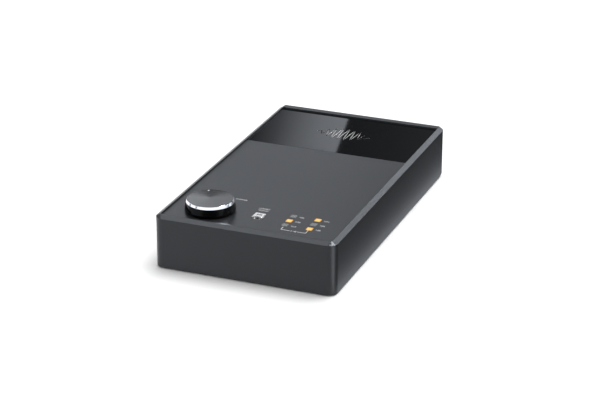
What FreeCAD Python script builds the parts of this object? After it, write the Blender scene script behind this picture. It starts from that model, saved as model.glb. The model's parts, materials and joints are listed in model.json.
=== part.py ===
import FreeCAD, Part
import math
import os

# Desktop audio interface: a low aluminium case with a recessed control panel, a gloss glass panel,
# a volume knob, a push button, six indicator lights, and sockets in a bay on the rear.
# Millimetres. +X right, +Y to the rear, +Z up. The origin is on the table, under the case's centre.

Vector = FreeCAD.Vector

# ---- driving dimensions ----------------------------------------------------------------------------

body_width = 140.0
body_length = 251.0
body_height = 40.2            # lower edge of the case to the rim
case_bottom = 1.0             # lower edge of the case above the table
plate_bottom = 0.6            # underside of the base plate above the table
corner_radius = 7.0           # the four vertical edges
rear_round = 12.0             # rounding between the rear face and the underside

chamfer_run = 3.5             # rim chamfer, measured level
chamfer_drop = 2.1            # rim chamfer, measured down
rim_corner_radius = 1.2       # corner radius where the chamfer meets the rim
front_land = 1.5              # flat rim between chamfer and recess, front
side_land = 0.3
rear_land = 5.5
recess_depth = 1.2            # panels below the rim
panel_thickness = 2.0
tape_thickness = 0.3
panel_gap = 0.15              # between a panel's edge and the recess wall
seam_from_front = 165.7       # seam between control panel and glass
seam_gap = 0.2

side_wall = 4.0
front_wall = 5.5
rear_wall = 7.0
ledge_width = 4.0             # ledge that carries the panels
ledge_thickness = 3.0
bridge_width = 12.0           # bar under the seam
plate_thickness = 2.0
plate_inset = 1.5             # base plate edge inside the case's outer face

knob_x = -36.6
knob_row = 27.1               # from the front face
knob_radius = 18.75           # at the foot of the skirt
ring_radius = 17.75           # bright ring at its lower edge
cap_radius = 17.1             # and at its upper edge
trim_height = 2.0
knob_height = 9.0
cone_rise = 0.65              # the knob's top is a very flat cone
knob_gap = 0.5
pointer_radius = 14.8
pointer_angle = 118.5         # degrees from +X, counter-clockwise seen from above

button_x = 1.0
button_row = 28.2             # from the front face
button_side = 8.1
button_rise = 1.4
moving_gap = 0.3              # between parts that move past each other
shaft_play = 0.05             # radial play of a shaft in its bearing

light_columns = {"left": 24.0, "right": 42.8}
light_rows = {"rear": 37.9, "middle": 29.5, "front": 21.2}   # from the front face
light_width = 4.4
light_length = 4.8
light_rise = 0.15

board_thickness = 1.6
main_board_top = 16.0
main_board_half_width = 58.0
main_board_front = -62.0
control_board_top = 30.0
control_board_half_width = 58.0
control_board_front = -116.0
control_board_rear = -74.0

bay_half_width = 57.0         # socket bay in the rear face
bay_depth = 3.0
socket_panel_flange = 2.0     # edge of the socket panel, on its ledge in the bay
socket_window_side = 54.0     # opening in the wall behind it
socket_window_low = 15.6
socket_window_high = 33.9
bay_low = 14.6
bay_high = 35.6
jack_height = 26.0            # axis of the 6.35 mm sockets above the table
jack_bore_radius = 3.25
jack_thread_radius = 5.0
jack_places = {"line_in_left": -48.0, "line_in_right": -31.0,
               "line_out_left": -14.0, "line_out_right": 3.0}
usb_x = 19.5
dc_x = 33.5
dc_height = 22.5
switch_x = 48.0
switch_height = 25.0
rocker_tilt = 8.0             # degrees each side of level

# ---- values worked out from them -------------------------------------------------------------------

half_width = body_width / 2
half_length = body_length / 2
front_face = -half_length
rear_face = half_length
rim_top = case_bottom + body_height
panel_top = rim_top - recess_depth
ledge_top = panel_top - panel_thickness
ledge_bottom = ledge_top - ledge_thickness
recess_side = half_width - chamfer_run - side_land
recess_front = front_face + chamfer_run + front_land
recess_rear = rear_face - chamfer_run - rear_land
cavity_side = half_width - side_wall
cavity_front = front_face + front_wall
cavity_rear = rear_face - rear_wall
seam = front_face + seam_from_front
knob_y = front_face + knob_row
button_y = front_face + button_row
plate_top = plate_bottom + plate_thickness
knob_bottom = panel_top + knob_gap
knob_top = panel_top + knob_height
bay_floor = rear_face - bay_depth
socket_ledge = bay_floor - socket_panel_flange
main_board_bottom = main_board_top - board_thickness
control_board_bottom = control_board_top - board_thickness

# ---- screws and their places -----------------------------------------------------------------------

boss_width = 7.6
boss_x = cavity_side - boss_width / 2
base_screw_places = [(sx * boss_x, y) for sx in (-1, 1) for y in (-112.0, -2.0, 104.0)]
board_boss_reach = 15.0
board_screw_x = 54.5
board_screw_places = [(sx * board_screw_x, y) for sx in (-1, 1) for y in (-50.0, 60.0)]
control_screw_places = [(sx * 54.0, y) for sx in (-1, 1) for y in (-112.0, -78.0)]
foot_places = [(sx * 54.0, y) for sx in (-1, 1) for y in (-92.0, 84.0)]
foot_radius = 7.0
foot_recess = 1.0
screw_radius = 1.5
socket_screw_xs = (-55.3, 55.3)
socket_screw_z = 17.4
socket_screw_radius = 0.8
screw_clearance_radius = 1.7


# ---- shape helpers ---------------------------------------------------------------------------------

def box(x0, x1, y0, y1, z0, z1):
    return Part.makeBox(x1 - x0, y1 - y0, z1 - z0, Vector(x0, y0, z0))


def block(x, y, width, length, z0, z1):
    """A box given by its middle in plan."""
    return box(x - width / 2, x + width / 2, y - length / 2, y + length / 2, z0, z1)


def rod(x, y, radius, z0, z1):
    return Part.makeCylinder(radius, z1 - z0, Vector(x, y, z0), Vector(0, 0, 1))


def rod_y(x, z, radius, y0, y1):
    return Part.makeCylinder(radius, y1 - y0, Vector(x, y0, z), Vector(0, 1, 0))


def rod_x(y, z, radius, x0, x1):
    return Part.makeCylinder(radius, x1 - x0, Vector(x0, y, z), Vector(1, 0, 0))


def rounded_outline(x0, x1, y0, y1, radius, z):
    """A closed rectangle with round corners, always started at the same corner."""
    corners = [(x1 - radius, y0 + radius, -90), (x1 - radius, y1 - radius, 0),
               (x0 + radius, y1 - radius, 90), (x0 + radius, y0 + radius, 180)]
    edges = []
    last = None
    for cx, cy, start in corners:
        points = []
        for angle in (start, start + 45, start + 90):
            a = math.radians(angle)
            points.append(Vector(cx + radius * math.cos(a), cy + radius * math.sin(a), z))
        if last is not None:
            edges.append(Part.LineSegment(last, points[0]).toShape())
        edges.append(Part.Arc(*points).toShape())
        last = points[2]
    edges.append(Part.LineSegment(last, edges[0].Vertexes[0].Point).toShape())
    return Part.Wire(edges)


def rounded_plate(x0, x1, y0, y1, radius, z0, z1):
    face = Part.Face(rounded_outline(x0, x1, y0, y1, radius, z0))
    return face.extrude(Vector(0, 0, z1 - z0))


def rounded_block(x, y, width, length, radius, z0, z1):
    return rounded_plate(x - width / 2, x + width / 2, y - length / 2, y + length / 2, radius, z0, z1)


def rounded_slot_y(x0, x1, z0, z1, radius, y0, y1):
    """A rounded rectangle in a plane facing the rear, carried from y0 to y1."""
    plate = rounded_plate(x0, x1, z0, z1, radius, 0, y1 - y0)
    plate.rotate(Vector(0, 0, 0), Vector(1, 0, 0), 90)
    plate.translate(Vector(0, y1, 0))
    return plate


def turned(profile, x=0.0, y=0.0):
    """A solid of revolution about the vertical through x, y from (radius, z) corners."""
    points = [Vector(x + r, y, z) for r, z in profile]
    outline = Part.makePolygon(points + [points[0]])
    return Part.Face(outline).revolve(Vector(x, y, 0), Vector(0, 0, 1), 360)


def extruded_x(profile, x0, x1):
    """A bar along X from (y, z) corners."""
    points = [Vector(x0, y, z) for y, z in profile]
    outline = Part.makePolygon(points + [points[0]])
    return Part.Face(outline).extrude(Vector(x1 - x0, 0, 0))


def hexagon_corners(flats):
    """The six corners of a hexagon about 0, 0, given its width across flats."""
    size = flats / 2 / math.cos(math.radians(30))
    return [(size * math.cos(math.radians(60 * i)), size * math.sin(math.radians(60 * i))) for i in range(6)]


def hexagon(x, y, flats, z0, z1):
    points = [Vector(x + a, y + b, z0) for a, b in hexagon_corners(flats)]
    return Part.Face(Part.makePolygon(points + [points[0]])).extrude(Vector(0, 0, z1 - z0))


def hexagon_y(x, z, flats, y0, y1):
    points = [Vector(x + a, y0, z + b) for a, b in hexagon_corners(flats)]
    return Part.Face(Part.makePolygon(points + [points[0]])).extrude(Vector(0, y1 - y0, 0))


def clean(shape):
    return shape.removeSplitter()


def save(name, shape):
    shape.exportStep("parts/" + name + ".step")


def save_group(name, solids):
    Part.makeCompound(solids).exportStep("parts/" + name + ".step")


# ---- case ------------------------------------------------------------------------------------------

def case_outside():
    shoulder = rim_top - chamfer_drop
    lower = rounded_plate(-half_width, half_width, front_face, rear_face, corner_radius,
                          case_bottom, shoulder)
    rim = Part.makeLoft([
        rounded_outline(-half_width, half_width, front_face, rear_face, corner_radius, shoulder),
        rounded_outline(-half_width + chamfer_run, half_width - chamfer_run, front_face + chamfer_run,
                        rear_face - chamfer_run, rim_corner_radius, rim_top)], True, True)
    return clean(lower.fuse(rim))


def side_profile():
    """The case seen from the side: square in front, rounded at the lower rear."""
    x = -half_width
    turn = math.radians(-45)
    centre_y = rear_face - rear_round
    centre_z = case_bottom + rear_round
    corner = [Vector(x, centre_y, case_bottom),
              Vector(x, centre_y + rear_round * math.cos(turn), centre_z + rear_round * math.sin(turn)),
              Vector(x, rear_face, centre_z)]
    start = Vector(x, front_face, case_bottom)
    top_front = Vector(x, front_face, rim_top)
    top_rear = Vector(x, rear_face, rim_top)
    edges = [Part.LineSegment(start, corner[0]).toShape(), Part.Arc(*corner).toShape(),
             Part.LineSegment(corner[2], top_rear).toShape(), Part.LineSegment(top_rear, top_front).toShape(),
             Part.LineSegment(top_front, start).toShape()]
    return Part.Face(Part.Wire(edges)).extrude(Vector(body_width, 0, 0))


def plate_outline(grow, z0, z1):
    """The base plate's plan, grown by a gap where the case is cut for it."""
    side = half_width - plate_inset + grow
    front = front_face + plate_inset - grow
    rear = rear_face - rear_round - plate_inset + grow
    return rounded_plate(-side, side, front, rear, corner_radius - plate_inset, z0, z1)


def case_cavity():
    rear_flange_front = rear_face - rear_round - plate_inset - 3.0
    rear_flange_top = case_bottom + 5.5
    lower = rounded_plate(-cavity_side, cavity_side, cavity_front, rear_flange_front, 3.0,
                          case_bottom, rear_flange_top)
    upper = rounded_plate(-cavity_side, cavity_side, cavity_front, cavity_rear, 3.0,
                          rear_flange_top, ledge_bottom)
    return lower.fuse(upper)


def panel_opening():
    """The recess for the panels, and the opening inside the ledge with the bar left under the seam."""
    recess = rounded_plate(-recess_side, recess_side, recess_front, recess_rear, 0.8, ledge_top, rim_top + 1)
    side = recess_side - ledge_width
    bar_front = seam - bridge_width / 2
    bar_rear = seam + bridge_width / 2
    under_panel = rounded_plate(-side, side, recess_front + ledge_width, bar_front, 2.0,
                                ledge_bottom - 1, ledge_top + 0.5)
    under_glass = rounded_plate(-side, side, bar_rear, recess_rear - ledge_width, 2.0,
                                ledge_bottom - 1, ledge_top + 0.5)
    return recess.fuse([under_panel, under_glass])


def case_bosses():
    """Pillars in the case for the base plate's screws, and lugs over the main board for its screws."""
    base_boss_top = 11.5
    lug_top = 24.0
    bosses = []
    for x, y in base_screw_places:
        inner = abs(x) - boss_width / 2
        outer = cavity_side + 0.5
        x0, x1 = (inner, outer) if x > 0 else (-outer, -inner)
        bosses.append(box(x0, x1, y - 4.0, y + 4.0, plate_top, base_boss_top))
    for x, y in board_screw_places:
        x0, x1 = (cavity_side - board_boss_reach, cavity_side + 0.5)
        if x < 0:
            x0, x1 = -x1, -x0
        bosses.append(box(x0, x1, y - 4.0, y + 4.0, main_board_top, lug_top))
    return bosses


def socket_bay():
    """The recess in the rear face, down to the ledge, and the opening in the wall behind it."""
    bay = rounded_slot_y(-bay_half_width, bay_half_width, bay_low, bay_high, 3.0, socket_ledge,
                         rear_face + 1)
    window = box(-socket_window_side, socket_window_side, cavity_rear - 1, socket_ledge + 1,
                 socket_window_low, socket_window_high)
    return bay.fuse(window)


def socket_holes():
    """Holes through the socket panel for the sockets and the switch."""
    y0 = cavity_rear - 1
    y1 = bay_floor + 1
    holes = [rod_y(x, jack_height, jack_thread_radius + 0.15, y0, y1) for x in jack_places.values()]
    holes.append(box(usb_x - 6.25, usb_x + 6.25, y0, y1, main_board_top - 0.4, main_board_top + 11.2))
    holes.append(rod_y(dc_x, dc_height, 4.2, y0, y1))
    holes.append(box(switch_x - 4.9, switch_x + 4.9, y0, y1, switch_height - 8.1, switch_height + 8.1))
    return holes


def make_case_shell():
    shell = case_outside().common(side_profile())
    shell = shell.cut(case_cavity())
    shell = shell.fuse(case_bosses())
    screw_holes = [rod(x, y, screw_radius, plate_top - 1, plate_top + 8.0)
                   for x, y in base_screw_places]
    screw_holes += [rod(x, y, screw_radius, main_board_top - 1, main_board_top + 6.0)
                    for x, y in board_screw_places]
    plate_pocket = plate_outline(0.15, case_bottom - 1, plate_top)
    screw_holes += [rod_y(x, socket_screw_z, socket_screw_radius, cavity_rear - 1, socket_ledge + 1)
                    for x in socket_screw_xs]
    shell = shell.cut([panel_opening(), plate_pocket, socket_bay()] + screw_holes)
    save("case_shell", clean(shell))


def make_socket_panel():
    """The panel that carries the sockets: a flange on the ledge, and a block that fills the opening."""
    gap = 0.1
    flange = rounded_slot_y(-bay_half_width + gap, bay_half_width - gap, bay_low + gap, bay_high - gap,
                            3.0 - gap, socket_ledge, bay_floor)
    filler = box(-socket_window_side + gap, socket_window_side - gap, cavity_rear, socket_ledge,
                 socket_window_low + gap, socket_window_high - gap)
    panel = clean(flange.fuse(filler))
    screw_holes = [rod_y(x, socket_screw_z, socket_screw_radius, socket_ledge - 1, bay_floor + 1)
                   for x in socket_screw_xs]
    save("socket_panel", panel.cut(socket_holes() + screw_holes))
    screws = []
    for x in socket_screw_xs:
        shank = rod_y(x, socket_screw_z, socket_screw_radius, cavity_rear + 0.1, bay_floor)
        head = rod_y(x, socket_screw_z, 1.25, bay_floor, bay_floor + 0.9)
        drive = rod_y(x, socket_screw_z, 0.55, bay_floor + 0.3, bay_floor + 2)
        screws.append(shank.fuse(head).cut(drive))
    save_group("socket_panel_screws", screws)


# ---- panels and base -------------------------------------------------------------------------------

pot_hole_radius = 4.65


def make_top_panel():
    panel = rounded_plate(-recess_side + panel_gap, recess_side - panel_gap, recess_front + panel_gap,
                          seam - seam_gap / 2, 0.6, ledge_top, panel_top)
    low = ledge_top - 1
    high = panel_top + 1
    button_hole = button_side + 2 * moving_gap
    holes = [rod(knob_x, knob_y, pot_hole_radius, low, high),
             rounded_block(button_x, button_y, button_hole, button_hole, 0.9, low, high)]
    for x in light_columns.values():
        for row in light_rows.values():
            holes.append(rounded_block(x, front_face + row, light_width + 0.2, light_length + 0.2, 0.6,
                                       low, high))
    save("top_panel", panel.cut(holes))


def make_glass_panel():
    glass = rounded_plate(-recess_side + panel_gap, recess_side - panel_gap, seam + seam_gap / 2,
                          recess_rear - panel_gap, 0.6, ledge_top + tape_thickness, panel_top)
    save("glass_panel", glass)


def make_glass_tape():
    outer = rounded_plate(-recess_side + 0.6, recess_side - 0.6, seam + 0.6, recess_rear - 0.6, 0.6,
                          ledge_top, ledge_top + tape_thickness)
    side = recess_side - ledge_width + 0.3
    inner = rounded_plate(-side, side, seam + bridge_width / 2 - 0.3, recess_rear - ledge_width + 0.3, 1.0,
                          ledge_top - 1, ledge_top + 1)
    save("glass_tape", outer.cut(inner))


def countersunk_screw(x, y, z, length, head_radius=2.8, head_depth=1.3):
    """A screw driven upwards: head flush at z, hexagonal socket in the head."""
    head = Part.makeCone(head_radius, screw_radius, head_depth, Vector(x, y, z), Vector(0, 0, 1))
    screw = head.fuse(rod(x, y, screw_radius, z + head_depth - 0.1, z + length))
    return clean(screw.cut(hexagon(x, y, 1.8, z - 0.5, z + 0.8)))


def pan_screw(x, y, z, length, head_radius=2.7, head_height=1.6):
    """A screw driven upwards: its head hangs under z."""
    head = rod(x, y, head_radius, z - head_height, z)
    screw = head.fuse(rod(x, y, screw_radius, z - 0.1, z + length))
    return clean(screw.cut(hexagon(x, y, 1.9, z - head_height - 0.5, z - head_height + 0.9)))


def make_base():
    plate = plate_outline(0.0, plate_bottom, plate_top)
    cuts = [rod(x, y, foot_radius + 0.1, plate_bottom - 1, plate_bottom + foot_recess)
            for x, y in foot_places]
    for x, y in base_screw_places:
        cuts.append(rod(x, y, screw_clearance_radius, plate_bottom - 1, plate_top + 1))
        cuts.append(Part.makeCone(3.0, screw_clearance_radius, 1.35, Vector(x, y, plate_bottom),
                                  Vector(0, 0, 1)))
    save("base_plate", plate.cut(cuts))
    save_group("base_screws", [countersunk_screw(x, y, plate_bottom, 8.0) for x, y in base_screw_places])
    feet = []
    for x, y in foot_places:
        foot = turned([(0, 0), (foot_radius - 1.2, 0), (foot_radius - 0.5, 0.25), (foot_radius, 0.7),
                       (foot_radius, plate_bottom + foot_recess), (0, plate_bottom + foot_recess)], x, y)
        feet.append(foot)
    save_group("rubber_feet", feet)


# ---- volume knob and its control -------------------------------------------------------------------

shaft_radius = 3.0
skirt_top = knob_top - trim_height
boss_bottom = panel_top + 4.3
bushing_top = panel_top + 3.8
shaft_bottom = control_board_top + 1.6
shaft_top = knob_top - 2.6
hollow_top = skirt_top - 1.6


def make_knob():
    skirt = turned([(shaft_radius + 1.5, boss_bottom), (shaft_radius + 3.0, boss_bottom),
                    (shaft_radius + 3.0, hollow_top), (15.8, hollow_top), (16.4, knob_bottom),
                    (knob_radius - 0.5, knob_bottom), (knob_radius, knob_bottom + 0.7),
                    (knob_radius - 0.05, knob_bottom + 1.8), (ring_radius - 0.05, skirt_top),
                    (shaft_radius + 1.5, skirt_top)], knob_x, knob_y)
    save("knob_skirt", skirt)
    ring = turned([(cap_radius - 0.9, skirt_top), (ring_radius, skirt_top),
                   (ring_radius, skirt_top + 0.1), (cap_radius, knob_top - 0.1),
                   (cap_radius - 0.1, knob_top), (cap_radius - 0.25, knob_top),
                   (cap_radius - 0.25, skirt_top + 0.4), (cap_radius - 0.9, skirt_top + 0.4)],
                  knob_x, knob_y)
    save("knob_trim_ring", ring)
    a = math.radians(pointer_angle)
    px = knob_x + pointer_radius * math.cos(a)
    py = knob_y + pointer_radius * math.sin(a)
    disc = turned([(0, skirt_top), (cap_radius - 1.0, skirt_top), (cap_radius - 1.0, skirt_top + 0.5),
                   (cap_radius - 0.35, skirt_top + 0.5), (cap_radius - 0.35, knob_top - 0.05),
                   (0, knob_top - 0.05 + cone_rise)], knob_x, knob_y)
    save("knob_cap", disc.cut(rod(px, py, 0.6, knob_top - 0.8, knob_top + 1)))
    save("knob_pointer", rod(px, py, 0.6, knob_top - 0.8, knob_top + 0.06))
    bush = rod(knob_x, knob_y, shaft_radius + 1.5, boss_bottom, skirt_top)
    bush = bush.cut(rod(knob_x, knob_y, shaft_radius, boss_bottom - 1, shaft_top))
    save("knob_bush", bush)


def make_pot():
    floor = control_board_top
    body_top = ledge_top - 0.4
    body = rounded_block(knob_x, knob_y, 16.0, 15.0, 1.0, floor, body_top)
    inside = rod(knob_x, knob_y, 6.2, floor + 1.0, body_top - 1.5)
    neck = rod(knob_x, knob_y, 4.0, body_top - 2, body_top + 1)
    save("pot_body", body.cut([inside, neck]))
    bushing = rod(knob_x, knob_y, 4.5, body_top, bushing_top)
    bushing = bushing.fuse(rod(knob_x, knob_y, 4.0, body_top - 1.5, body_top))
    bushing = bushing.cut(rod(knob_x, knob_y, shaft_radius + shaft_play, body_top - 2, bushing_top + 1))
    save("pot_bushing", clean(bushing))
    washer = rod(knob_x, knob_y, 6.8, panel_top, panel_top + 0.5)
    save("pot_washer", washer.cut(rod(knob_x, knob_y, 4.6, panel_top - 1, panel_top + 1)))
    nut = hexagon(knob_x, knob_y, 12.0, panel_top + 0.5, panel_top + 2.7)
    save("pot_nut", nut.cut(rod(knob_x, knob_y, 4.5, panel_top, panel_top + 3)))
    shaft = rod(knob_x, knob_y, shaft_radius, shaft_bottom, shaft_top)
    wiper = rod(knob_x, knob_y, 5.6, shaft_bottom, shaft_bottom + 1.6)
    save("pot_shaft", clean(shaft.fuse(wiper)))


# ---- push button -----------------------------------------------------------------------------------

switch_top = control_board_top + 3.6
cap_bottom = switch_top + 2.0
plunger_radius = 1.7


def make_button():
    top = panel_top + button_rise
    half = button_side / 2
    cap = rounded_block(button_x, button_y, button_side, button_side, 0.7, cap_bottom + 1.2, top)
    rim_edges = [e for e in cap.Edges if min(v.Z for v in e.Vertexes) > top - 0.01]
    cap = cap.makeChamfer(0.35, rim_edges)
    flange = rounded_block(button_x, button_y, button_side + 2.0, button_side + 2.0, 0.7,
                           cap_bottom, cap_bottom + 1.2)
    finger_notch = rod(button_x, button_y - half - 1.1, 2.6, top - 1.6, top + 1)
    slot = rounded_block(button_x, button_y + 0.6, 4.2, 1.6, 0.4, top - 0.7, top + 1)
    save("button_cap", clean(cap.fuse(flange)).cut([finger_notch, slot]))
    plunger = rod(button_x, button_y, plunger_radius, control_board_top + 1.4, cap_bottom)
    save("switch_plunger", plunger)
    body = block(button_x, button_y, 6.2, 6.2, control_board_top, switch_top)
    well = rod(button_x, button_y, plunger_radius + moving_gap, control_board_top + 0.3, switch_top + 1)
    save("tact_switch_body", body.cut(well))


# ---- indicator lights ------------------------------------------------------------------------------

def make_lights():
    chip_top = control_board_top + 1.2
    lens_bottom = chip_top + 0.4
    chips = []
    wells = []
    for side, x in light_columns.items():
        for row, from_front in light_rows.items():
            y = front_face + from_front
            lens = rounded_block(x, y, light_width, light_length, 0.5, lens_bottom, panel_top + light_rise)
            save("led_lens_" + side + "_" + row, lens)
            chips.append(block(x, y, 3.2, 2.8, control_board_top, chip_top))
            wells.append(rounded_block(x, y, light_width + 0.2, light_length + 0.2, 0.6,
                                       control_board_top - 1, ledge_top + 1))
    save_group("led_chips", chips)
    x0 = light_columns["left"] - light_width / 2 - 2.0
    x1 = light_columns["right"] + light_width / 2 + 2.0
    y0 = front_face + light_rows["front"] - light_length / 2 - 1.4
    y1 = front_face + light_rows["rear"] + light_length / 2 + 1.4
    baffle = rounded_plate(x0, x1, y0, y1, 1.0, control_board_top, ledge_top - 0.1)
    save("led_baffle", baffle.cut(wells))


# ---- control board ---------------------------------------------------------------------------------

control_header_y = -80.0
main_header_y = -54.0
header_width = 16.0


def make_control_board():
    board = rounded_plate(-control_board_half_width, control_board_half_width, control_board_front,
                          control_board_rear, 2.0, control_board_bottom, control_board_top)
    board = board.cut([rod(x, y, screw_clearance_radius, control_board_bottom - 1, control_board_top + 1)
                       for x, y in control_screw_places])
    save("control_board", board)
    standoffs = []
    for x, y in control_screw_places:
        post = hexagon(x, y, 5.5, control_board_top, ledge_top)
        standoffs.append(post.cut(rod(x, y, screw_radius, control_board_top - 1, ledge_top - 1.5)))
    save_group("control_standoffs", standoffs)
    save_group("control_screws", [pan_screw(x, y, control_board_bottom, 7.0)
                                  for x, y in control_screw_places])


def header_block(y, z0, z1):
    return block(0.0, y, header_width, 5.0, z0, z1)


def bent_strip(route, bend, width, thick):
    """A flat strip, its width along X, following (y, z) points whose corners are arcs of radius bend."""
    points = [Vector(0, y, z) for y, z in route]
    edges = []
    start = points[0]
    for before, corner, after in zip(points, points[1:], points[2:]):
        inward = (before - corner).normalize()
        outward = (after - corner).normalize()
        half_angle = inward.getAngle(outward) / 2
        setback = bend / math.tan(half_angle)
        middle = (inward + outward).normalize() * (bend / math.sin(half_angle) - bend)
        arc_start = corner + inward * setback
        arc_end = corner + outward * setback
        edges.append(Part.LineSegment(start, arc_start).toShape())
        edges.append(Part.Arc(arc_start, corner + middle, arc_end).toShape())
        start = arc_end
    edges.append(Part.LineSegment(start, points[-1]).toShape())
    y, z = route[0]
    section = [Vector(-width / 2, y - thick / 2, z), Vector(width / 2, y - thick / 2, z),
               Vector(width / 2, y + thick / 2, z), Vector(-width / 2, y + thick / 2, z)]
    return Part.Wire(edges).makePipeShell([Part.makePolygon(section + [section[0]])], True, False)


def make_ribbon():
    """Flat cable from the control board's underside, in a slack bend, down to the main board."""
    high = control_board_bottom - 3.4
    low = main_board_top + 3.4
    save("control_header", header_block(control_header_y, high, control_board_bottom))
    save("main_header", header_block(main_header_y, main_board_top, low))
    dip = low - 1.2
    crest = high + 1.2
    middle = (control_header_y + main_header_y) / 2
    route = [(control_header_y, high), (control_header_y, dip), (middle, dip), (middle, crest),
             (main_header_y, crest), (main_header_y, low)]
    save("ribbon_cable", bent_strip(route, 2.2, 14.0, 0.9))


# ---- main board ------------------------------------------------------------------------------------

def make_main_board():
    board = rounded_plate(-main_board_half_width, main_board_half_width, main_board_front,
                          cavity_rear - 0.3, 2.0, main_board_bottom, main_board_top)
    board = board.cut([rod(x, y, screw_clearance_radius, main_board_bottom - 1, main_board_top + 1)
                       for x, y in board_screw_places])
    save("main_board", board)
    save_group("board_screws", [pan_screw(x, y, main_board_bottom, 7.0) for x, y in board_screw_places])


def gull_chip(x, y, width, length, height):
    """A chip: a body with a chamfered top over a thinner lead frame."""
    leads = block(x, y, width + 2.4, length, main_board_top, main_board_top + 0.3)
    body = block(x, y, width, length + 1.2, main_board_top + 0.3, main_board_top + height)
    return clean(leads.fuse(body))


def make_chips():
    save("processor_chip", gull_chip(8.0, 2.0, 20.0, 20.0, 1.7))
    save_group("converter_chips", [gull_chip(x, 36.0, 8.0, 12.0, 1.5) for x in (-34.0, -8.0)])
    save_group("amplifier_chips", [gull_chip(x, 74.0, 5.0, 6.0, 1.6) for x in (-48.0, -31.0, -14.0, 3.0)])
    save("crystal_can", rounded_block(28.0, -8.0, 5.0, 11.0, 2.4, main_board_top, main_board_top + 3.6))


def make_power_parts():
    cans = []
    for i in range(3):
        for j in range(2):
            x = 30.0 + 12.5 * j
            y = 38.0 + 12.5 * i
            if abs(y - 60.0) < 10 and x > 36:
                continue
            cans.append(turned([(0, main_board_top), (5.0, main_board_top), (5.0, main_board_top + 11.2),
                                (4.5, main_board_top + 12.0), (0, main_board_top + 12.0)], x, y))
    save_group("electrolytic_capacitors", cans)
    save_group("power_inductors", [rounded_block(x, 84.0, 8.0, 8.0, 1.5, main_board_top, main_board_top + 4.2)
                                   for x in (22.0, 33.5)])
    save_group("output_relays", [block(x, 60.0, 7.0, 13.0, main_board_top, main_board_top + 9.0)
                                 for x in (-30.0, -18.0, -6.0, 6.0)])


# ---- rear sockets ----------------------------------------------------------------------------------

jack_length = 25.0
jack_half_width = 7.6
jack_top = 34.0
nose_end = rear_face - 0.6


def make_jack(name, x):
    front = cavity_rear - jack_length
    body = box(x - jack_half_width, x + jack_half_width, front, cavity_rear, main_board_top, jack_top)
    chamber = box(x - 5.2, x + 5.2, front + 2.0, cavity_rear - 7.0, jack_height - 5.2, jack_height + 5.2)
    nose = rod_y(x, jack_height, jack_thread_radius, cavity_rear, nose_end)
    bore = rod_y(x, jack_height, jack_bore_radius, front + 3.0, nose_end + 1)
    mouth = Part.makeCone(jack_bore_radius, jack_bore_radius + 0.5, 0.5,
                          Vector(x, nose_end - 0.5, jack_height), Vector(0, 1, 0))
    save(name + "_jack", clean(body.fuse(nose)).cut([chamber, bore, mouth]))


def jack_spring(x, side):
    """A bent contact leaf lying along the chamber's side wall."""
    front = cavity_rear - jack_length + 2.0
    wall = 5.2
    leaf = box(wall - 0.5, wall, front + 1.0, front + 13.0, jack_height - 1.5, jack_height + 1.5)
    bump = box(wall - 1.2, wall - 0.5, front + 10.0, front + 12.0, jack_height - 1.5, jack_height + 1.5)
    spring = clean(leaf.fuse(bump))
    if side < 0:
        spring = spring.mirror(Vector(0, 0, 0), Vector(1, 0, 0))
    spring.translate(Vector(x, 0, 0))
    return spring


def make_jacks():
    nuts = []
    springs = []
    for name, x in jack_places.items():
        make_jack(name, x)
        nut = hexagon_y(x, jack_height, 13.0, bay_floor, bay_floor + 1.9)
        nuts.append(nut.cut(rod_y(x, jack_height, jack_thread_radius, bay_floor - 1, bay_floor + 3)))
        springs += [jack_spring(x, side) for side in (-1, 1)]
    save_group("jack_nuts", nuts)
    save_group("jack_springs", springs)


def make_usb():
    """Square socket: a folded steel shell round a moulding with a tongue."""
    half = 6.0
    low = main_board_top
    high = low + 11.0
    back = bay_floor - 16.0
    wall = 0.4
    shell = box(usb_x - half, usb_x + half, back, bay_floor, low, high)
    shell = shell.cut(box(usb_x - half + wall, usb_x + half - wall, back + wall, bay_floor + 1,
                          low + wall, high - wall))
    save("usb_shell", shell)
    moulding = box(usb_x - half + wall, usb_x + half - wall, back + wall, bay_floor - 0.3,
                   low + wall, high - wall)
    centre = low + 5.5
    space_back = bay_floor - 10.0
    space = box(usb_x - 4.3, usb_x + 4.3, space_back, bay_floor + 1, centre - 4.0, centre + 4.0)
    corners = []
    for side in (-1, 1):
        corner = box(-1.4, 1.4, space_back, bay_floor + 1, -1.4, 1.4)
        corner.rotate(Vector(0, 0, 0), Vector(0, 1, 0), 45)
        corner.translate(Vector(usb_x + side * 4.3, 0, centre + 4.0))
        corners.append(corner)
    space = space.cut(corners)
    tongue = box(usb_x - 2.8, usb_x + 2.8, space_back - 0.5, bay_floor - 1.4, centre - 1.6, centre + 1.6)
    save("usb_insulator", clean(moulding.cut(space).fuse(tongue)))


def make_dc_inlet():
    back = cavity_rear - 11.0
    body = box(dc_x - 4.7, dc_x + 4.7, back, cavity_rear, main_board_top, main_board_top + 11.0)
    nose = rod_y(dc_x, dc_height, 4.1, cavity_rear, bay_floor)
    bore = rod_y(dc_x, dc_height, 2.9, back + 4.0, bay_floor + 1)
    pin_seat = rod_y(dc_x, dc_height, 1.0, back + 1.0, back + 5.0)
    save("dc_inlet_housing", clean(body.fuse(nose)).cut([bore, pin_seat]))
    save("dc_inlet_pin", rod_y(dc_x, dc_height, 1.0, back + 1.0, bay_floor - 1.0))


# ---- rear power switch -----------------------------------------------------------------------------

rocker_half_width = 3.5
rocker_half_height = 6.0
rocker_pivot_y = 119.8
rocker_pin_radius = 0.9
switch_window_half = 7.0
switch_back = cavity_rear - 10.0
bezel_face = bay_floor + 0.8


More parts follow.
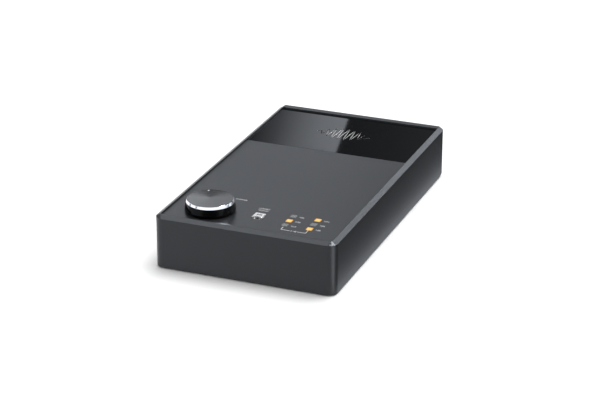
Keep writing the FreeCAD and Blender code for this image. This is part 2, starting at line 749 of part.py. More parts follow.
def make_rocker():
    """A rocker with two flat wings, built level and then pressed on its upper half."""
    valley = bezel_face + 0.3
    wing = bezel_face + 1.1
    floor = rocker_pivot_y - 2.4
    h = rocker_half_height
    profile = [(floor, -2.6), (rocker_pivot_y - 0.6, -h + 0.3), (wing, -h), (valley, 0.0), (wing, h),
               (rocker_pivot_y - 0.6, h - 0.3), (floor, 2.6)]
    rocker = extruded_x(profile, switch_x - rocker_half_width, switch_x + rocker_half_width)
    pin_reach = rocker_half_width + moving_gap + 0.7
    pins = rod_x(rocker_pivot_y, 0.0, rocker_pin_radius, switch_x - pin_reach, switch_x + pin_reach)
    rocker = clean(rocker.fuse(pins))
    rocker.rotate(Vector(0, rocker_pivot_y, 0), Vector(1, 0, 0), rocker_tilt)
    rocker.translate(Vector(0, 0, switch_height))
    save("power_rocker", rocker)


def make_power_switch():
    bezel = rounded_slot_y(switch_x - 5.7, switch_x + 5.7, switch_height - 9.0, switch_height + 9.0, 0.8,
                           bay_floor, bezel_face)
    body = box(switch_x - 4.8, switch_x + 4.8, switch_back, bay_floor,
               switch_height - 8.0, switch_height + 8.0)
    window = rocker_half_width + moving_gap
    well = box(switch_x - window, switch_x + window, switch_back + 1.2, bezel_face + 1,
               switch_height - switch_window_half, switch_height + switch_window_half)
    pin_hole = rod_x(rocker_pivot_y, switch_height, rocker_pin_radius + shaft_play,
                     switch_x - window - 0.8, switch_x + window + 0.8)
    save("power_switch_body", clean(bezel.fuse(body)).cut([well, pin_hole]))
    blades = []
    for z in (switch_height - 4.0, switch_height + 3.0):
        tab = box(switch_x - 2.0, switch_x + 2.0, switch_back - 4.0 - (z - 20.0) / 3, switch_back, z, z + 0.8)
        reach = switch_back - 4.0 - (z - 20.0) / 3
        leg = box(switch_x - 2.0, switch_x + 2.0, reach, reach + 0.8, main_board_top, z + 0.8)
        blades.append(clean(tab.fuse(leg)))
    save_group("switch_terminals", blades)


# ---- everything ------------------------------------------------------------------------------------

os.makedirs("parts", exist_ok=True)
make_case_shell()
make_socket_panel()
make_top_panel()
make_glass_panel()
make_glass_tape()
make_base()
make_knob()
make_pot()
make_button()
make_lights()
make_control_board()
make_ribbon()
make_main_board()
make_chips()
make_power_parts()
make_jacks()
make_usb()
make_dc_inlet()
make_rocker()
make_power_switch()
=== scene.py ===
import bpy
import bmesh
import json
import math
from mathutils import Matrix, Vector


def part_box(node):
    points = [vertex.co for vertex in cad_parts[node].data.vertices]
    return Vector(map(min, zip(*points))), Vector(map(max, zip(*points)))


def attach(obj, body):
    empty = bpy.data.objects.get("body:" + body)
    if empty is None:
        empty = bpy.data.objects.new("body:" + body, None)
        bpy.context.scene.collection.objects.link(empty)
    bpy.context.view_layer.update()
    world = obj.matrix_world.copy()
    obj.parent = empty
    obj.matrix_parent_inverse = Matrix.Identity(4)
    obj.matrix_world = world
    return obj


# Looks of a desktop audio interface: finishes for its CAD pieces, the printed marks on its panels,
# and a plain studio. Metres, in the CAD model's frame: +X right, +Y to the rear, +Z up.

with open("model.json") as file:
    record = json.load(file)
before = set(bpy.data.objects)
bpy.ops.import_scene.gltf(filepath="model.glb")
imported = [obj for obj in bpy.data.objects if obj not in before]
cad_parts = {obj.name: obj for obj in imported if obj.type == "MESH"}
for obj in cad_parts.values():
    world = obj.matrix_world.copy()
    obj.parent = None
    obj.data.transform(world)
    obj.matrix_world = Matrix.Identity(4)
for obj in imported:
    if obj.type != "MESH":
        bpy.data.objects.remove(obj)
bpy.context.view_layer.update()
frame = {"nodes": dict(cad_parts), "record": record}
nodes = frame["nodes"]

MM = 0.001

# ---- node helpers ----------------------------------------------------------------------------------


class Graph:
    """A material's node tree, with short ways to add and join nodes."""

    def __init__(self, name):
        self.material = bpy.data.materials.new(name)
        self.material.use_nodes = True
        self.tree = self.material.node_tree
        self.tree.nodes.clear()
        self.output = self.tree.nodes.new("ShaderNodeOutputMaterial")
        self.shader = self.tree.nodes.new("ShaderNodeBsdfPrincipled")
        self.link(self.shader.outputs["BSDF"], self.output.inputs["Surface"])

    def add(self, kind, **settings):
        node = self.tree.nodes.new(kind)
        for key, value in settings.items():
            setattr(node, key, value)
        return node

    def link(self, source, target):
        self.tree.links.new(source, target)

    def set(self, **values):
        """Constants on the shader's own sockets, with spaces written as underscores."""
        for key, value in values.items():
            self.shader.inputs[key.replace("_", " ")].default_value = value

    def place(self, scale=(1, 1, 1), kind="Object"):
        coordinates = self.add("ShaderNodeTexCoord")
        mapping = self.add("ShaderNodeMapping")
        mapping.inputs["Scale"].default_value = scale
        self.link(coordinates.outputs[kind], mapping.inputs["Vector"])
        return mapping.outputs["Vector"]

    def noise(self, vector, scale, detail=2.0, roughness=0.5):
        node = self.add("ShaderNodeTexNoise")
        node.inputs["Scale"].default_value = scale
        node.inputs["Detail"].default_value = detail
        node.inputs["Roughness"].default_value = roughness
        self.link(vector, node.inputs["Vector"])
        return node.outputs["Fac"]

    def spread(self, value, low, high, source=(0.3, 0.7)):
        """A value carried from the source range to low..high."""
        node = self.add("ShaderNodeMapRange")
        node.inputs["From Min"].default_value = source[0]
        node.inputs["From Max"].default_value = source[1]
        node.inputs["To Min"].default_value = low
        node.inputs["To Max"].default_value = high
        self.link(value, node.inputs["Value"])
        return node.outputs["Result"]

    def mix(self, factor, first, second):
        """A colour between two, by a linked factor."""
        node = self.add("ShaderNodeMix", data_type="RGBA")
        self.link(factor, node.inputs["Factor"])
        for name, value in (("A", first), ("B", second)):
            socket = [s for s in node.inputs if s.name == name and s.type == "RGBA"][0]
            if hasattr(value, "links"):
                self.link(value, socket)
            else:
                socket.default_value = value
        return [s for s in node.outputs if s.type == "RGBA"][0]

    def bump(self, height, distance):
        """A normal roughened by a height, in metres."""
        node = self.add("ShaderNodeBump")
        node.inputs["Distance"].default_value = distance
        node.inputs["Strength"].default_value = 1.0
        self.link(height, node.inputs["Height"])
        return node.outputs["Normal"]

    def into(self, source, name):
        self.link(source, self.shader.inputs[name])


def grey(value):
    return (value, value, value, 1.0)


def tinted(value, cool=0.10):
    """A grey with a slight blue cast."""
    return (value * (1 - cool / 2), value, value * (1 + cool), 1.0)


# ---- finishes --------------------------------------------------------------------------------------


def blasted_metal(name, tone, roughness):
    """Fine bead-blasted, anodised metal: soft cloudy tone, and a grain too fine to see from afar."""
    g = Graph(name)
    at = g.place()
    cloud = g.noise(at, scale=45.0, detail=3.0)
    fine = g.noise(at, scale=2600.0, detail=2.0, roughness=0.6)
    g.into(g.mix(g.spread(cloud, 0, 1), tinted(tone * 0.96), tinted(tone * 1.04)), "Base Color")
    g.into(g.spread(fine, roughness - 0.05, roughness + 0.05), "Roughness")
    g.into(g.bump(fine, 0.00002), "Normal")
    g.set(Metallic=0.0, Specular_IOR_Level=0.5)
    return g.material


def gloss_black(name, tone, roughness, specular=0.5):
    """Gloss black with faint wiping marks."""
    g = Graph(name)
    at = g.place()
    cloud = g.noise(at, scale=30.0, detail=4.0)
    g.into(g.mix(g.spread(cloud, 0, 1), tinted(tone * 0.8), tinted(tone * 1.2)), "Base Color")
    wiping = g.noise(g.place((1.0, 0.35, 1.0)), scale=22.0, detail=5.0)
    g.into(g.spread(wiping, roughness, roughness + 0.03), "Roughness")
    g.into(g.bump(g.noise(at, scale=900.0, detail=1.0), 0.000002), "Normal")
    g.set(Specular_IOR_Level=specular)
    return g.material


def moulded_plastic(name, colour, roughness, texture=0.00004):
    """Moulded plastic or rubber with a fine grain."""
    g = Graph(name)
    at = g.place()
    cloud = g.noise(at, scale=120.0, detail=3.0)
    dark = tuple(c * 0.9 for c in colour[:3]) + (1,)
    light = tuple(min(1.0, c * 1.1) for c in colour[:3]) + (1,)
    g.into(g.mix(g.spread(cloud, 0, 1), dark, light), "Base Color")
    grain = g.noise(at, scale=1800.0, detail=2.0, roughness=0.6)
    g.into(g.spread(grain, roughness - 0.06, roughness + 0.06), "Roughness")
    g.into(g.bump(grain, texture), "Normal")
    return g.material


def plain_metal(name, colour, roughness, streak=(1, 1, 1), scale=400.0):
    """Bare or plated metal with fine streaks along one direction."""
    g = Graph(name)
    at = g.place(streak)
    lines = g.noise(at, scale, 3.0, 0.6)
    dark = tuple(c * 0.88 for c in colour[:3]) + (1,)
    g.into(g.mix(g.spread(lines, 0, 1), dark, colour), "Base Color")
    g.into(g.spread(lines, roughness - 0.05, roughness + 0.07), "Roughness")
    g.into(g.bump(lines, 0.000004), "Normal")
    g.set(Metallic=1.0)
    return g.material


def cut_metal(name, colour, flat_colour, roughness):
    """Metal with a bright turned chamfer; its level top is left as dark as its neighbour."""
    g = Graph(name)
    geometry = g.add("ShaderNodeNewGeometry")
    split = g.add("ShaderNodeSeparateXYZ")
    g.link(geometry.outputs["Normal"], split.inputs["Vector"])
    level = g.spread(split.outputs["Z"], 0.0, 1.0, (0.80, 0.92))
    lines = g.noise(g.place(), scale=60.0, detail=3.0, roughness=0.6)
    dark = tuple(c * 0.88 for c in colour[:3]) + (1,)
    bright = g.mix(g.spread(lines, 0, 1), dark, colour)
    g.into(g.mix(level, bright, flat_colour), "Base Color")
    g.into(g.spread(lines, roughness - 0.05, roughness + 0.07), "Roughness")
    g.set(Metallic=1.0)
    return g.material


def spun_metal(name, tone, roughness, centre):
    """Turned metal: concentric grooves, and a highlight that fans out from the middle."""
    g = Graph(name)
    coordinates = g.add("ShaderNodeTexCoord")
    mapping = g.add("ShaderNodeMapping")
    mapping.inputs["Location"].default_value = (-centre.x, -centre.y, 0)
    g.link(coordinates.outputs["Object"], mapping.inputs["Vector"])
    split = g.add("ShaderNodeSeparateXYZ")
    g.link(mapping.outputs["Vector"], split.inputs["Vector"])
    flat = g.add("ShaderNodeCombineXYZ")
    g.link(split.outputs["X"], flat.inputs["X"])
    g.link(split.outputs["Y"], flat.inputs["Y"])
    radius = g.add("ShaderNodeVectorMath", operation="LENGTH")
    g.link(flat.outputs["Vector"], radius.inputs[0])
    along = g.add("ShaderNodeCombineXYZ")
    g.link(radius.outputs["Value"], along.inputs["X"])
    grooves = g.noise(along.outputs["Vector"], scale=9000.0, detail=3.0, roughness=0.7)
    bands = g.noise(along.outputs["Vector"], scale=900.0, detail=2.0)
    dark = tinted(tone * 0.94, cool=-0.05)
    light = tinted(tone * 1.06, cool=-0.05)
    g.into(g.mix(g.spread(bands, 0, 1), dark, light), "Base Color")
    g.into(g.spread(grooves, roughness - 0.03, roughness + 0.03), "Roughness")
    g.into(g.bump(grooves, 0.0000015), "Normal")
    g.set(Metallic=1.0)
    return g.material


def lamp_on(name):
    """A lit amber window: brightest in the middle, deeper orange towards its walls."""
    g = Graph(name)
    at = g.place(kind="Generated")
    away = g.add("ShaderNodeVectorMath", operation="SUBTRACT")
    away.inputs[1].default_value = (0.5, 0.5, 0.5)
    g.link(at, away.inputs[0])
    split = g.add("ShaderNodeSeparateXYZ")
    g.link(away.outputs["Vector"], split.inputs["Vector"])
    sides = []
    for axis in "XY":
        size = g.add("ShaderNodeMath", operation="ABSOLUTE")
        g.link(split.outputs[axis], size.inputs[0])
        sides.append(size.outputs["Value"])
    edge = g.add("ShaderNodeMath", operation="MAXIMUM")
    g.link(sides[0], edge.inputs[0])
    g.link(sides[1], edge.inputs[1])
    blend = g.spread(edge.outputs["Value"], 0.0, 1.0, (0.30, 0.49))
    colour = g.mix(blend, (0.93, 0.68, 0.19, 1), (0.80, 0.42, 0.04, 1))
    cloud = g.spread(g.noise(g.place(), scale=900.0), 0.0, 1.0)
    g.into(g.mix(cloud, (0.16, 0.05, 0.004, 1), (0.20, 0.065, 0.006, 1)), "Base Color")
    g.into(colour, "Emission Color")
    g.set(Emission_Strength=0.82, Roughness=0.35)
    return g.material


def lamp_off(name):
    """An unlit window: smoky moulding, finely ribbed to spread the light; its stripes along the ribbing are
    painted sheen, lighter and darker.
    """
    g = Graph(name)
    at = g.place()
    wave = g.add("ShaderNodeTexWave", wave_type="BANDS", bands_direction="DIAGONAL")
    wave.inputs["Scale"].default_value = 260.0
    g.link(at, wave.inputs["Vector"])
    ribbing_and_sheen = wave.outputs["Fac"]
    # Painted sheen: the colour runs lighter and darker along the ribbing, as light falls, not as the
    # moulding's own colour.
    g.into(g.mix(ribbing_and_sheen, (0.08, 0.082, 0.080, 1), (0.20, 0.205, 0.200, 1)), "Base Color")
    g.into(g.bump(ribbing_and_sheen, 0.00004), "Normal")
    g.set(Roughness=0.35)
    return g.material


def board_finish(name):
    """Green solder mask with faint tracks and pale pads."""
    g = Graph(name)
    at = g.place()
    brick = g.add("ShaderNodeTexBrick")
    brick.inputs["Scale"].default_value = 260.0
    brick.inputs["Color1"].default_value = (0.008, 0.045, 0.022, 1)
    brick.inputs["Color2"].default_value = (0.010, 0.060, 0.030, 1)
    brick.inputs["Mortar"].default_value = (0.014, 0.085, 0.042, 1)
    brick.inputs["Mortar Size"].default_value = 0.03
    g.link(at, brick.inputs["Vector"])
    g.into(brick.outputs["Color"], "Base Color")
    g.into(g.spread(g.noise(at, scale=300.0), 0.25, 0.4), "Roughness")
    g.into(g.bump(brick.outputs["Fac"], 0.00003), "Normal")
    return g.material


def ribbon_finish(name):
    """Ribbed ribbon cable; its grey is painted darker in the grooves and lighter on the crests, as painted
    shade.
    """
    g = Graph(name)
    wave = g.add("ShaderNodeTexWave", wave_type="BANDS", bands_direction="X")
    wave.inputs["Scale"].default_value = 250.0
    g.link(g.place(), wave.inputs["Vector"])
    # Painted shade: darker grey in the grooves, lighter on the crests.
    g.into(g.mix(wave.outputs["Fac"], grey(0.22), grey(0.42)), "Base Color")
    g.into(g.bump(wave.outputs["Fac"], 0.0002), "Normal")
    g.set(Roughness=0.5)
    return g.material


def print_finish(name, tone):
    """Screen-printed ink: matt, slightly uneven."""
    g = Graph(name)
    ink = g.noise(g.place(), scale=1500.0, detail=3.0)
    g.into(g.mix(g.spread(ink, 0, 1), grey(tone * 0.85), grey(tone)), "Base Color")
    g.into(g.bump(ink, 0.00001), "Normal")
    g.set(Roughness=0.6)
    return g.material


knob_low, knob_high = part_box("knob_cap")
knob_middle = (knob_low + knob_high) / 2

finishes = {
    "case_metal": blasted_metal("case_metal_finish", 0.014, 0.38),
    "panel_metal": blasted_metal("panel_metal_finish", 0.0165, 0.33),
    "black_glass": gloss_black("black_glass_finish", 0.003, 0.02),
    "tape": moulded_plastic("tape_finish", (0.02, 0.02, 0.02), 0.8),
    "base_steel": moulded_plastic("base_steel_finish", (0.016, 0.016, 0.017), 0.6),
    "screw_steel": plain_metal("screw_steel_finish", (0.12, 0.12, 0.13, 1), 0.35),
    "rubber": moulded_plastic("rubber_finish", (0.018, 0.018, 0.018), 0.85, 0.0001),
    "knob_black": gloss_black("knob_black_finish", 0.002, 0.08, specular=0.12),
    "bright_metal": cut_metal("bright_metal_finish", (0.92, 0.93, 0.95, 1), grey(0.10), 0.14),
    "spun_metal": spun_metal("spun_metal_finish", 0.098, 0.14, knob_middle),
    "white_print": print_finish("white_print_finish", 0.80),
    "button_metal": plain_metal("button_metal_finish", (0.97, 0.94, 0.90, 1), 0.26, (0.1, 1, 1), 5000.0),
    "light_on": lamp_on("light_on_finish"),
    "light_off": lamp_off("light_off_finish"),
    "board": board_finish("board_finish"),
    "chip_black": moulded_plastic("chip_black_finish", (0.02, 0.02, 0.022), 0.55),
    "can_metal": plain_metal("can_metal_finish", (0.55, 0.56, 0.58, 1), 0.32, (1, 1, 0.1)),
    "relay_plastic": moulded_plastic("relay_plastic_finish", (0.05, 0.06, 0.08), 0.45),
    "ribbon": ribbon_finish("ribbon_finish"),
    "brass": plain_metal("brass_finish", (0.72, 0.50, 0.22, 1), 0.30),
    "socket_plastic": moulded_plastic("socket_plastic_finish", (0.012, 0.012, 0.013), 0.45),
    "socket_steel": plain_metal("socket_steel_finish", (0.60, 0.60, 0.62, 1), 0.28),
    "nut_metal": plain_metal("nut_metal_finish", (0.30, 0.30, 0.32, 1), 0.32),
    "rocker_plastic": moulded_plastic("rocker_plastic_finish", (0.012, 0.012, 0.013), 0.35),
}

for part in frame["record"]["subparts"]:
    mesh = nodes[part["node"]].data
    mesh.materials.clear()
    mesh.materials.append(finishes[part["material_slot"]])

# ---- printed marks, and black fill in the button's slot and notch (in the notch, painted shade) ----

# The rise is also the thickness of the painted shade bars in the button's notch.
INK_AND_SHADE_RISE = 0.04 * MM        # thickness of the ink
SLOT_DEPTH = 0.7 * MM       # the button's slot, below its top
NOTCH_DEPTH = 1.6 * MM      # the button's finger notch, below its top
FIRST_NUMBER = 101          # printed beside the first light
DIGIT_GAP = 0.3             # share of a digit's place left open
NUMBER_HEIGHT = 1.7 * MM
LABEL_HEIGHT = 1.6 * MM
KNOB_LABEL_HEIGHT = 1.2 * MM
NUMBER_LINE = 0.17 * MM
LABEL_LINE = 0.14 * MM
KNOB_LABEL_LINE = 0.19 * MM
BRACKET_LINE = 0.36 * MM
BRACKET_NUMBER_LINE = 0.24 * MM
WAVE_HALF_WIDTH = 22.0 * MM
WAVE_SWING = 11.0 * MM
WAVE_CYCLES = 8.5
WAVE_SWELL = 1.1            # how quickly the swing grows from the ends
WAVE_LINE = 0.55 * MM
WAVE_STEPS = 420

# Places of the marks, from the middle of the piece that each belongs to.
NUMBER_START = 2.5 * MM     # right of the window's edge
NUMBER_END = 6.2 * MM
NUMBER_FORWARD = 0.2 * MM   # in front of the window's middle
BRACKET_TOP = 3.7 * MM      # in front of the front windows
BRACKET_BOTTOM = 8.1 * MM
BRACKET_RIGHT_EXTRA = 1.0 * MM      # the right arm is this much longer
BREAK_FROM_LEFT = 6.5 * MM
BREAK_FROM_RIGHT = 6.4 * MM
BREAK_MARGINS = (0.9 * MM, 0.8 * MM)
BUTTON_ROWS = (("1234567", -5.8 * MM, 2.5 * MM, 14.6 * MM),     # digits, from x, to x, y
               ("765432", -5.4 * MM, 2.4 * MM, 11.4 * MM))
KNOB_ROW = ("0123456", 9.4 * MM, 18.0 * MM, 25.6 * MM)
# Bars of painted shade: black where shade falls on the floor of the button's finger notch.
NOTCH_SHADE_BARS = ((1.15 * MM, 3.6 * MM), (1.75 * MM, 3.1 * MM), (2.15 * MM, 2.75 * MM))  # half width, forward
NOTCH_SHADE_WIDTH = 0.4 * MM
SLOT_HALF = 1.9 * MM
SLOT_BACK = 0.6 * MM
SLOT_WIDTH = 1.3 * MM
WAVE_BACK = 1.0 * MM

# Strokes of each digit in a cell one wide and two tall.
DIGITS = {
    "0": [[(0, 0), (1, 0), (1, 2), (0, 2), (0, 0)]],
    "1": [[(0.1, 1.5), (0.5, 2), (0.5, 0)]],
    "2": [[(0, 2), (1, 2), (1, 1), (0, 1), (0, 0), (1, 0)]],
    "3": [[(0, 2), (1, 2), (1, 0), (0, 0)], [(0.2, 1), (1, 1)]],
    "4": [[(0, 2), (0, 1), (1, 1)], [(1, 2), (1, 0)]],
    "5": [[(1, 2), (0, 2), (0, 1), (1, 1), (1, 0), (0, 0)]],
    "6": [[(1, 2), (0, 2), (0, 0), (1, 0), (1, 1), (0, 1)]],
    "7": [[(0, 2), (1, 2), (0.4, 0)]],
    "-": [[(0.1, 1), (0.9, 1)]],
}


def stroke(bm, a, b, width, z):
    """A thin raised bar from a to b: ink, and in the button's notch painted shade."""
    start = Vector((a[0], a[1], 0))
    end = Vector((b[0], b[1], 0))
    along = (end - start).normalized() * (width / 2)
    side = Vector((-along.y, along.x, 0))
    ring = [start - along - side, end + along - side, end + along + side, start - along + side]
    low = [bm.verts.new(p + Vector((0, 0, z))) for p in ring]
    high = [bm.verts.new(p + Vector((0, 0, z + INK_AND_SHADE_RISE))) for p in ring]
    bm.faces.new(high)
    bm.faces.new(reversed(low))
    for i in range(4):
        j = (i + 1) % 4
        bm.faces.new((low[i], low[j], high[j], high[i]))


def write_row(bm, text, x0, x1, y, height, width, z):
    """Digits spread evenly from x0 to x1, centred on y."""
    step = (x1 - x0) / (len(text) - DIGIT_GAP)
    wide = step * (1 - DIGIT_GAP)
    for i, sign in enumerate(text):
        left = x0 + i * step
        for line in DIGITS[sign]:
            for a, b in zip(line, line[1:]):
                stroke(bm, (left + a[0] * wide, y + (a[1] - 1) * height / 2),
                       (left + b[0] * wide, y + (b[1] - 1) * height / 2), width, z)


def ink_piece(name, bm, slot, body="case"):
    """Hands a mark over as a piece that rides a body."""
    mesh = bpy.data.meshes.new(name)
    bm.to_mesh(mesh)
    bm.free()
    piece = bpy.data.objects.new(name, mesh)
    bpy.context.scene.collection.objects.link(piece)
    mesh.materials.append(finishes[slot])
    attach(piece, body)


def middle(node):
    """Centre of a node's box."""
    low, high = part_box(node)
    return (low + high) / 2


panel_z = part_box("top_panel")[1].z
glass_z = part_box("glass_panel")[1].z


def light_labels():
    """Three digits beside each light."""
    bm = bmesh.new()
    number = FIRST_NUMBER
    for side in ("left", "right"):
        for row in ("rear", "middle", "front"):
            low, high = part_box("led_lens_" + side + "_" + row)
            write_row(bm, str(number), high.x + NUMBER_START, high.x + NUMBER_END,
                      (low.y + high.y) / 2 - NUMBER_FORWARD, NUMBER_HEIGHT, NUMBER_LINE, panel_z)
            number += 1
    ink_piece("light_numbers", bm, "white_print")


def light_bracket():
    """A line joining the two columns, broken in the middle by a row of digits."""
    bm = bmesh.new()
    left = middle("led_lens_left_front")
    right = middle("led_lens_right_front")
    top = left.y - BRACKET_TOP
    bottom = left.y - BRACKET_BOTTOM
    break_start = left.x + BREAK_FROM_LEFT
    break_end = right.x - BREAK_FROM_RIGHT
    stroke(bm, (left.x, top), (left.x, bottom), BRACKET_LINE, panel_z)
    stroke(bm, (left.x, bottom), (break_start, bottom), BRACKET_LINE, panel_z)
    stroke(bm, (break_end, bottom), (right.x, bottom), BRACKET_LINE, panel_z)
    stroke(bm, (right.x, bottom), (right.x, top + BRACKET_RIGHT_EXTRA), BRACKET_LINE, panel_z)
    write_row(bm, "1-6", break_start + BREAK_MARGINS[0], break_end - BREAK_MARGINS[1], bottom, LABEL_HEIGHT,
              BRACKET_NUMBER_LINE, panel_z)
    ink_piece("light_bracket", bm, "white_print")


def button_label():
    """Two rows of digits behind the button."""
    bm = bmesh.new()
    at = middle("button_cap")
    for digits, start, end, back in BUTTON_ROWS:
        write_row(bm, digits, at.x + start, at.x + end, at.y + back, LABEL_HEIGHT, LABEL_LINE, panel_z)
    ink_piece("button_numbers", bm, "white_print")


def button_slot_paint():
    """Black fill on the floors of the button's slot and of its finger notch; the notch's fill is painted
    shade.
    """
    bm = bmesh.new()
    at = middle("button_cap")
    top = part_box("button_cap")[1].z
    # Painted shade: black bars on the notch's floor, where its shade falls.
    for half, forward in NOTCH_SHADE_BARS:
        stroke(bm, (at.x - half, at.y - forward), (at.x + half, at.y - forward), NOTCH_SHADE_WIDTH,
               top - NOTCH_DEPTH)
    stroke(bm, (at.x - SLOT_HALF, at.y + SLOT_BACK), (at.x + SLOT_HALF, at.y + SLOT_BACK), SLOT_WIDTH,
           top - SLOT_DEPTH)
    ink_piece("button_slot_paint", bm, "knob_black", "push_button")


def knob_label():
    """A row of digits behind the knob's right side."""
    bm = bmesh.new()
    at = middle("knob_cap")
    digits, start, end, back = KNOB_ROW
    write_row(bm, digits, at.x + start, at.x + end, at.y + back, KNOB_LABEL_HEIGHT, KNOB_LABEL_LINE, panel_z)
    ink_piece("knob_numbers", bm, "white_print")


def glass_mark():
    """A plain wave burst: one line that swings widest in the middle and settles at both ends."""
    bm = bmesh.new()
    at = middle("glass_panel")
    points = []
    for i in range(WAVE_STEPS + 1):
        t = 2 * i / WAVE_STEPS - 1
        swell = max(1 - t * t, 0.0) ** WAVE_SWELL
        points.append((at.x + WAVE_HALF_WIDTH * t,
                       at.y + WAVE_BACK + WAVE_SWING * swell * math.sin(math.pi * WAVE_CYCLES * t)))
    for a, b in zip(points, points[1:]):
        stroke(bm, a, b, WAVE_LINE, glass_z)
    ink_piece("glass_wave", bm, "white_print")


light_labels()
light_bracket()
button_label()
button_slot_paint()
knob_label()
glass_mark()

# ---- studio ----------------------------------------------------------------------------------------

COOL = (0.87, 0.92, 1.0, 1)     # colour of the cards' light
FLOOR_REACH = 4.0               # half the floor's side
BACK = 0.9                      # y of the upright cards behind the object
FACING_AWAY = 1.3               # from the origin to the cards that face it
BAND_AWAY = 1.6                 # from the origin to the curved cards
BAND_TOP = 34                   # degrees above the knob's ring
BAND_LEVEL = 1.4
RING_HEIGHT = 0.045
BAND_STEPS = 12
CARD_RISE = 0.0004              # cards that lie on the floor float this far above it
FAR = 1.5                       # how far those cards reach
CAMERA_AZIMUTH = 21.43          # degrees, from straight ahead towards the right
CAMERA_ELEVATION = 22.92        # degrees
CAMERA_ROLL = 0.152             # degrees
CAMERA_DISTANCE = 1.609
CAMERA_LENS = 126.1             # millimetres
CAMERA_TARGET = (-0.0055, 0.0, 0.01387)

scene = bpy.context.scene
scene.view_settings.view_transform = "Standard"


def sheet(name, corners):
    """A flat sheet between corners."""
    bm = bmesh.new()
    bm.faces.new([bm.verts.new(c) for c in corners])
    mesh = bpy.data.meshes.new(name)
    bm.to_mesh(mesh)
    bm.free()
    thing = bpy.data.objects.new(name, mesh)
    scene.collection.objects.link(thing)
    return thing


def studio_floor():
    """The plain pale floor."""
    far = FLOOR_REACH
    floor = sheet("studio_floor", [(-far, -far, 0), (far, -far, 0), (far, far, 0), (-far, far, 0)])
    g = Graph("studio_floor_finish")
    cloud = g.noise(g.place(), scale=3.0)
    g.into(g.mix(g.spread(cloud, 0, 1), grey(0.92), grey(0.94)), "Base Color")
    g.set(Roughness=0.9, Specular_IOR_Level=0.1)
    floor.data.materials.append(g.material)


def reflected_card(name, corners, levels, along=(1.0, 0.0, 0.0), reach=(0.0, 1.0)):
    """A card that shows in reflections only; its glow runs between levels along a direction."""
    card = sheet(name, corners)
    material = bpy.data.materials.new(name + "_glow")
    material.use_nodes = True
    tree = material.node_tree
    tree.nodes.clear()
    output = tree.nodes.new("ShaderNodeOutputMaterial")
    glow = tree.nodes.new("ShaderNodeEmission")
    glow.inputs["Color"].default_value = COOL
    coordinates = tree.nodes.new("ShaderNodeTexCoord")
    distance = tree.nodes.new("ShaderNodeVectorMath")
    distance.operation = "DOT_PRODUCT"
    distance.inputs[1].default_value = along
    tree.links.new(coordinates.outputs["Object"], distance.inputs[0])
    ramp = tree.nodes.new("ShaderNodeFloatCurve")
    place = tree.nodes.new("ShaderNodeMapRange")
    place.inputs["From Min"].default_value = reach[0]
    place.inputs["From Max"].default_value = reach[1]
    tree.links.new(distance.outputs["Value"], place.inputs["Value"])
    tree.links.new(place.outputs["Result"], ramp.inputs["Value"])
    top = max(levels)
    curve = ramp.mapping.curves[0]
    for i, level in enumerate(levels):
        spot = (i / (len(levels) - 1), level / top)
        if i == 0:
            curve.points[0].location = spot
        elif i == len(levels) - 1:
            curve.points[len(curve.points) - 1].location = spot
        else:
            curve.points.new(*spot)
    for point in curve.points:
        point.handle_type = "VECTOR"
    ramp.mapping.update()
    strength = tree.nodes.new("ShaderNodeMath")
    strength.operation = "MULTIPLY"
    strength.inputs[1].default_value = top
    tree.links.new(ramp.outputs["Value"], strength.inputs[0])
    tree.links.new(strength.outputs["Value"], glow.inputs["Strength"])
    tree.links.new(glow.outputs["Emission"], output.inputs["Surface"])
    card.data.materials.append(material)
    card.visible_camera = False
    card.visible_shadow = False
    card.visible_diffuse = False
    return card


def upright(*points):
    """Corners of a card behind the object, from their x and z."""
    return [(x, BACK, z) for x, z in points]


def on_floor(*points):
    """Corners of a card on the floor, from their x and y."""
    return [(x, y, CARD_RISE) for x, y in points]


def band(name, start, end, low):
    """An upright card curved round the object, seen in reflections only; angles in degrees from +X."""
    bm = bmesh.new()
    rows = []
    turns = [math.radians(start + (end - start) * i / BAND_STEPS) for i in range(BAND_STEPS + 1)]
    for tilt in (low, BAND_TOP):
        rise = BAND_AWAY * math.tan(math.radians(tilt)) + RING_HEIGHT
        rows.append([bm.verts.new((BAND_AWAY * math.cos(turn), BAND_AWAY * math.sin(turn), rise))
                     for turn in turns])
    for i in range(BAND_STEPS):
        bm.faces.new((rows[0][i], rows[0][i + 1], rows[1][i + 1], rows[1][i]))
    card = reflected_card(name, [(0, 0, 0), (1, 0, 0), (1, 1, 0), (0, 1, 0)], (BAND_LEVEL, BAND_LEVEL))
    bm.to_mesh(card.data)
    bm.free()


def facing_card(name, direction, width, height, level):
    """A reflection-only card square to the line from the object."""
    direction = Vector(direction).normalized()
    across = direction.cross(Vector((0, 0, 1))).normalized() * (width / 2)
    up = across.cross(direction).normalized() * (height / 2)
    at = direction * FACING_AWAY
    corners = [at - across - up, at + across - up, at + across + up, at - across + up]
    reflected_card(name, corners, (level, level))


def sun(name, direction, angle, strength):
    """An even soft light from far away, left out of reflections."""
    lamp = bpy.data.lights.new(name, "SUN")
    lamp.energy = strength
    lamp.angle = math.radians(angle)
    holder = bpy.data.objects.new(name, lamp)
    holder.rotation_euler = Vector(direction).to_track_quat("Z", "Y").to_euler()
    holder.visible_glossy = False
    scene.collection.objects.link(holder)


def studio_world(level):
    """Even light from all round, left out of reflections."""
    world = bpy.data.worlds.new("studio_world")
    world.use_nodes = True
    world.node_tree.nodes["Background"].inputs["Color"].default_value = (1, 1, 1, 1)
    world.node_tree.nodes["Background"].inputs["Strength"].default_value = level
    scene.world = world
    world.cycles_visibility.glossy = False


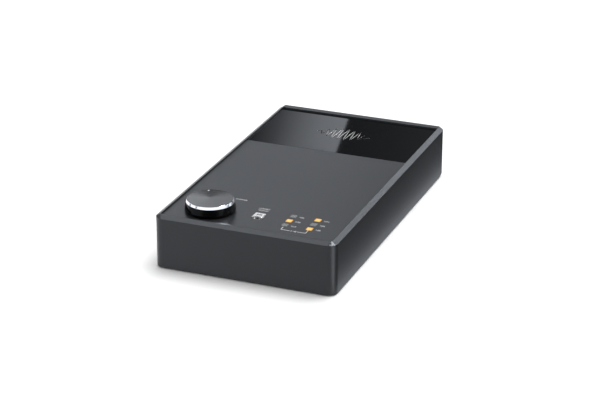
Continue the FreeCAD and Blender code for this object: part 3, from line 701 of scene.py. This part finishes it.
def photo_camera():
    """The camera: a long lens, from the front, a little to the right and above."""
    azimuth = math.radians(CAMERA_AZIMUTH)
    elevation = math.radians(CAMERA_ELEVATION)
    away = Vector((math.sin(azimuth) * math.cos(elevation), -math.cos(azimuth) * math.cos(elevation),
                   math.sin(elevation)))
    lens = bpy.data.cameras.new("photo_camera")
    lens.sensor_width = 36.0
    lens.lens = CAMERA_LENS
    lens.clip_start = 0.01
    camera = bpy.data.objects.new("photo_camera", lens)
    camera.location = Vector(CAMERA_TARGET) + away * CAMERA_DISTANCE
    roll = Matrix.Rotation(math.radians(CAMERA_ROLL), 4, "Z")
    camera.rotation_euler = (away.to_track_quat("Z", "Y").to_matrix().to_4x4() @ roll).to_euler()
    scene.collection.objects.link(camera)
    scene.camera = camera


studio_floor()
studio_world(level=0.68)
sun("key_light", direction=(0.16, 0.34, 1.0), angle=44, strength=2.45)

# Behind: the card whose slanting right edge shows in the glass, fading to the left.
SLANT = (1.0, 0.0, 0.333)
EDGE_LOW = -0.2597              # x of the slanting edge at the card's lower side
EDGE_HIGH = -0.3124             # and at its upper side
CARD_LOW = 0.25
CARD_HIGH = 0.408
reflected_card("back_card", upright((-0.60, CARD_LOW), (EDGE_LOW, CARD_LOW), (EDGE_HIGH, CARD_HIGH),
                                    (-0.65, CARD_HIGH)),
               (0.045, 0.105, 0.30, 0.65, 0.93, 1.05), along=SLANT, reach=(-0.320, -0.178))
# Right of that edge: all but dark.
reflected_card("back_dim", upright((EDGE_LOW, CARD_LOW), (0.0, CARD_LOW), (0.0, CARD_HIGH),
                                   (EDGE_HIGH, CARD_HIGH)),
               (0.04, 0.11), along=SLANT, reach=(-0.178, -0.04))
# Above both: lights the satin panel, the rims and the knob's disc.
reflected_card("back_high", upright((-0.80, 0.431), (0.10, 0.431), (0.10, 0.78), (-0.80, 0.78)),
               (1.58, 0.36), reach=(-0.55, -0.18))
# Below both, out of the glass's view: lights the rear rim.
reflected_card("back_low", upright((-0.90, 0.02), (0.30, 0.02), (0.30, 0.335), (-0.90, 0.335)), (1.25, 1.25))
# Higher still, for the bevels round the rim.
facing_card("right_bevel_card", (0.185, 0.858, 0.479), width=0.40, height=0.34, level=4.2)
facing_card("corner_card", (0.40, 0.13, 0.91), width=0.60, height=0.60, level=31.0)
facing_card("front_bevel_card", (-0.40, 0.02, 0.92), width=0.80, height=0.55, level=3.6)
# Round the camera's side: what the knob's bright ring shows, with thin breaks.
band("front_band", start=-131, end=20, low=7)
band("left_band", start=194, end=223.5, low=1)
band("far_left_band", start=160, end=189, low=0.5)
band("right_band", start=26, end=60, low=0.5)
# On the floor at the right: what the right side mirrors falls off quickly beside the case.
CASE_SIDE = 0.0705              # just outside the case's right side
FADE_END = 0.1105
CARD_FRONT = -0.122
reflected_card("floor_fade", on_floor((CASE_SIDE, CARD_FRONT), (FADE_END, CARD_FRONT), (FADE_END, FAR),
                                      (CASE_SIDE, FAR)),
               (1.05, 0.80, 0.34, 0.17, 0.10, 0.07, 0.05, 0.05, 0.05), reach=(CASE_SIDE, FADE_END))
reflected_card("floor_dark", on_floor((FADE_END, CARD_FRONT), (FAR, CARD_FRONT), (FAR, FAR),
                                      (FADE_END, FAR)),
               (0.05, 0.05))
# On the floor in front: keeps the front face even.
reflected_card("floor_front", on_floor((-1.0, -FAR), (0.070, -FAR), (0.070, -0.127), (-1.0, -0.127)),
               (1.00, 0.76), reach=(-0.12, 0.05))
# On the floor off the front right edge: a bright line down the rounding, with a dimmer one before it.
reflected_card("floor_corner", on_floor((0.076, -0.124), (0.080, -0.128), (1.0, -0.95), (1.0, -0.124)),
               (2.6, 2.6))
reflected_card("floor_between", on_floor((0.072, -0.130), (0.072, -FAR), (1.0, -FAR), (1.0, -0.96),
                                         (0.080, -0.130)),
               (0.6, 0.6))
photo_camera()
